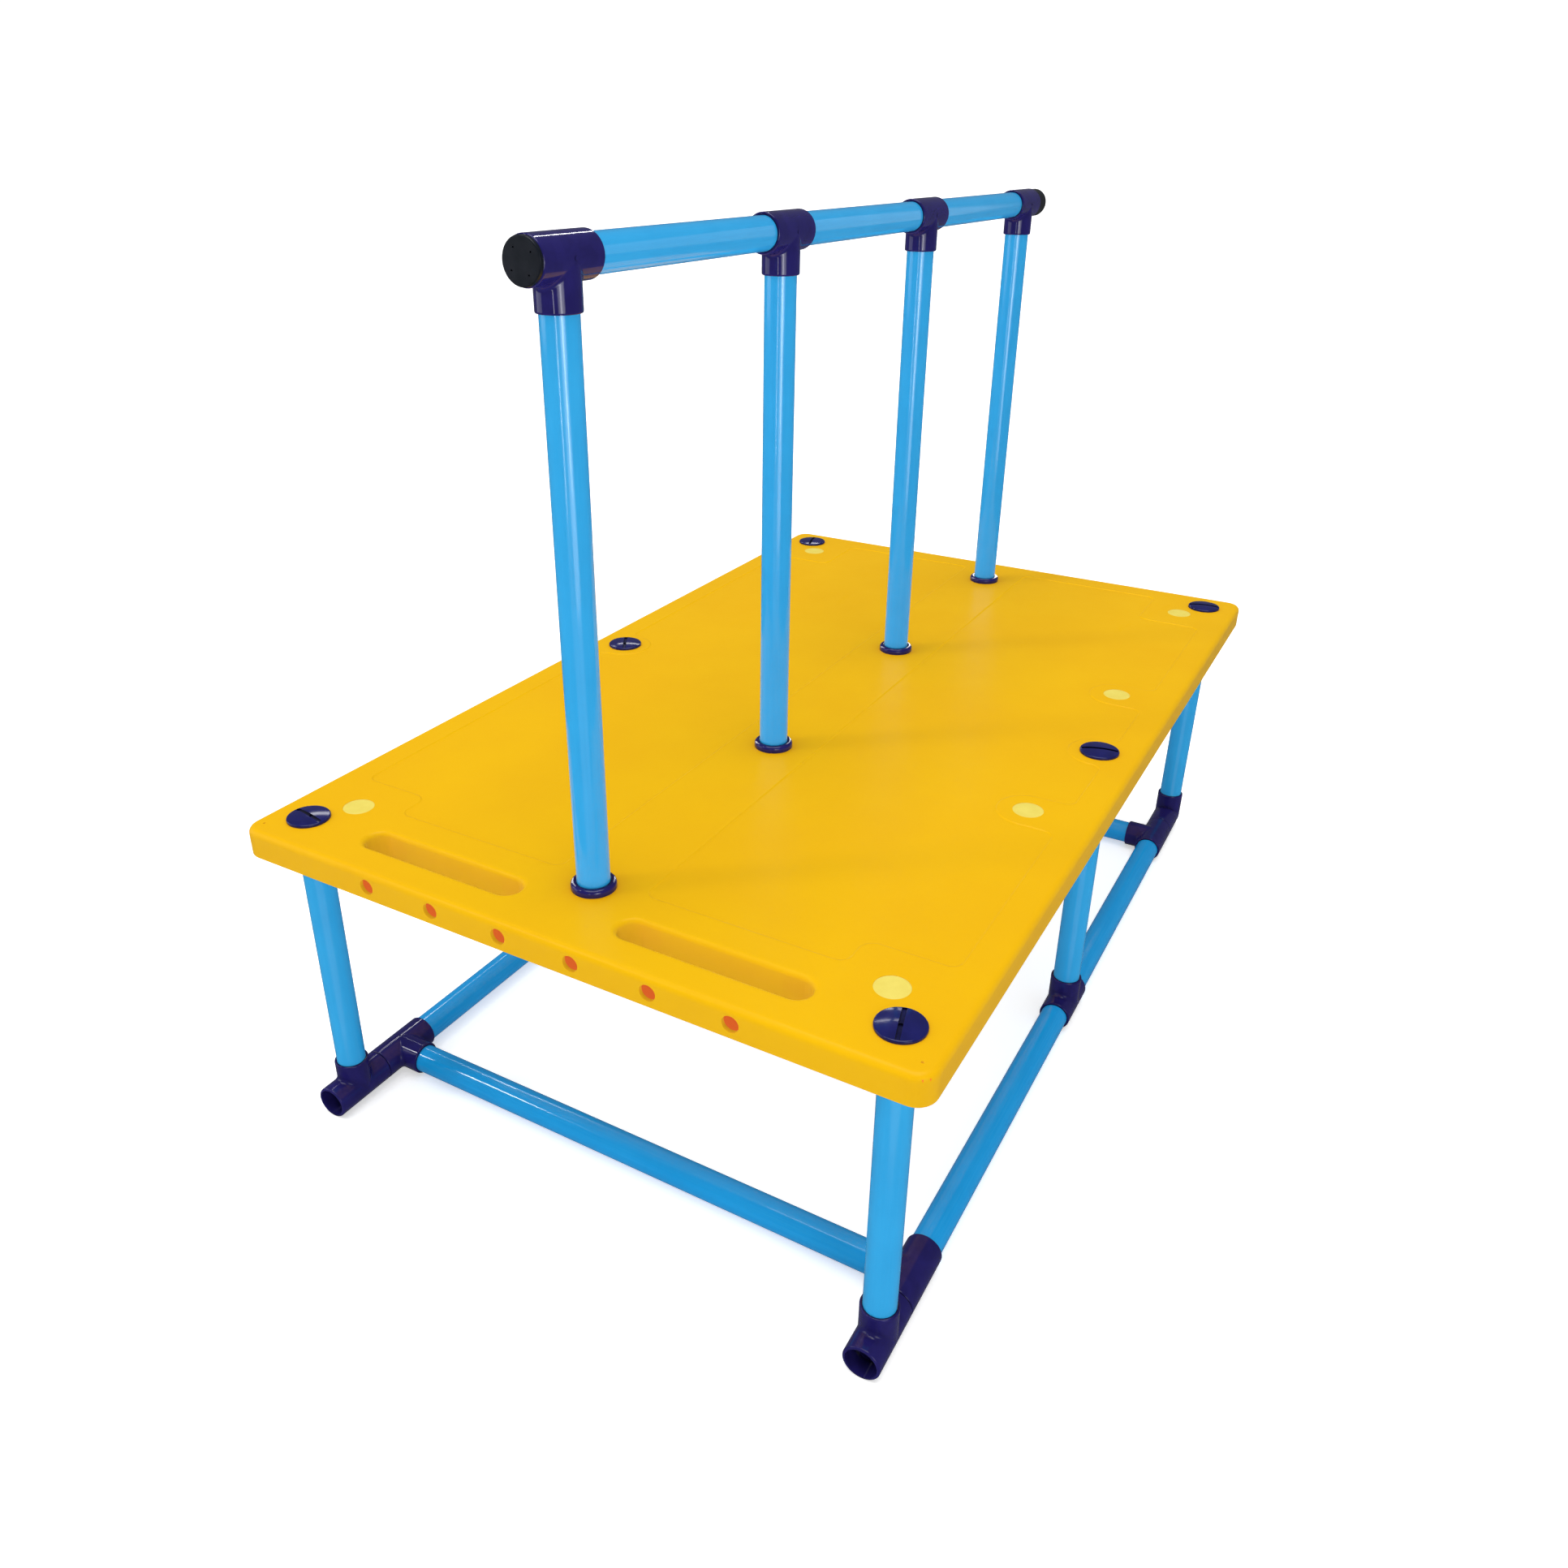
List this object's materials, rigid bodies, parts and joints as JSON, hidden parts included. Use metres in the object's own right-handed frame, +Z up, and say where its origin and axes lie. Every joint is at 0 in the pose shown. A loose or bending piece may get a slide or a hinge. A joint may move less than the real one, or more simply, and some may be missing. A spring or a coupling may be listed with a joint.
{
  "type": "swim-teaching platform",
  "caption": "Swim-teaching platform: a hollow moulded deck on a plastic pipe frame that stands on the pool floor, with a lift-out pipe handrail and screw caps over the legs.",
  "frame": {"origin": "centre of the platform's outline at floor level", "axes": "+X across the deck, +Y along the deck away from the end with the hand slots, +Z up"},
  "size_m": [1.14, 1.86, 1.4206],
  "materials": {
    "deck_yellow": "satin moulded polyethylene",
    "plug_pale": "satin",
    "pipe_blue": "semi-gloss extruded pipe",
    "fitting_navy": "gloss",
    "collar_navy": "gloss",
    "cap_navy": "gloss",
    "plug_black": "semi-gloss",
    "insert_white": "matte"
  },
  "bodies": {
    "platform": {"deck": "deck_yellow", "far_bar_tee_left": "fitting_navy", "far_bar_tee_right": "fitting_navy", "far_crossbar": "pipe_blue", "far_elbow_left": "fitting_navy", "far_elbow_right": "fitting_navy", "far_nipple_left": "pipe_blue", "far_nipple_right": "pipe_blue", "far_side_rail_left": "pipe_blue", "far_side_rail_right": "pipe_blue", "leg_far_left": "pipe_blue", "leg_far_right": "pipe_blue", "leg_inserts": "insert_white", "leg_mid_left": "pipe_blue", "leg_mid_right": "pipe_blue", "leg_near_left": "pipe_blue", "leg_near_right": "pipe_blue", "leg_tee_left": "fitting_navy", "leg_tee_right": "fitting_navy", "mid_tee_left": "fitting_navy", "mid_tee_right": "fitting_navy", "near_bar_tee_left": "fitting_navy", "near_bar_tee_right": "fitting_navy", "near_crossbar": "pipe_blue", "near_nipple_left": "pipe_blue", "near_nipple_right": "pipe_blue", "near_side_rail_left": "pipe_blue", "near_side_rail_right": "pipe_blue", "socket_plug_left_1": "plug_pale", "socket_plug_left_4": "plug_pale", "socket_plug_right_1": "plug_pale", "socket_plug_right_2": "plug_pale", "socket_plug_right_3": "plug_pale", "socket_plug_right_4": "plug_pale"},
    "handrail": {"post_collar_1": "collar_navy", "post_collar_2": "collar_navy", "post_collar_3": "collar_navy", "post_collar_4": "collar_navy", "rail_plug_far": "plug_black", "rail_plug_near": "plug_black", "rail_post_1": "pipe_blue", "rail_post_2": "pipe_blue", "rail_post_3": "pipe_blue", "rail_post_4": "pipe_blue", "rail_tee_1": "fitting_navy", "rail_tee_2": "fitting_navy", "rail_tee_3": "fitting_navy", "rail_tee_4": "fitting_navy", "rail_tube_1": "pipe_blue", "rail_tube_2": "pipe_blue", "rail_tube_3": "pipe_blue"},
    "cap_far_left": {"leg_cap_far_left": "cap_navy"},
    "cap_far_right": {"leg_cap_far_right": "cap_navy"},
    "cap_mid_left": {"leg_cap_mid_left": "cap_navy"},
    "cap_mid_right": {"leg_cap_mid_right": "cap_navy"},
    "cap_near_left": {"leg_cap_near_left": "cap_navy"},
    "cap_near_right": {"leg_cap_near_right": "cap_navy"}
  },
  "joints": [
    {"name": "handrail_lift", "type": "slide", "parent": "platform", "child": "handrail", "axis": [0, 0, 1], "range_m": [0, 0.055]},
    {"name": "cap_far_left_turn", "type": "hinge", "parent": "platform", "child": "cap_far_left", "pos_m": [-0.5, 0.856, 0.5624], "axis": [0, 0, 1], "continuous": true},
    {"name": "cap_far_right_turn", "type": "hinge", "parent": "platform", "child": "cap_far_right", "pos_m": [0.5, 0.856, 0.5624], "axis": [0, 0, 1], "continuous": true},
    {"name": "cap_mid_left_turn", "type": "hinge", "parent": "platform", "child": "cap_mid_left", "pos_m": [-0.5, 0, 0.5624], "axis": [0, 0, 1], "continuous": true},
    {"name": "cap_mid_right_turn", "type": "hinge", "parent": "platform", "child": "cap_mid_right", "pos_m": [0.5, 0, 0.5624], "axis": [0, 0, 1], "continuous": true},
    {"name": "cap_near_left_turn", "type": "hinge", "parent": "platform", "child": "cap_near_left", "pos_m": [-0.5, -0.856, 0.5624], "axis": [0, 0, 1], "continuous": true},
    {"name": "cap_near_right_turn", "type": "hinge", "parent": "platform", "child": "cap_near_right", "pos_m": [0.5, -0.856, 0.5624], "axis": [0, 0, 1], "continuous": true}
  ]
}
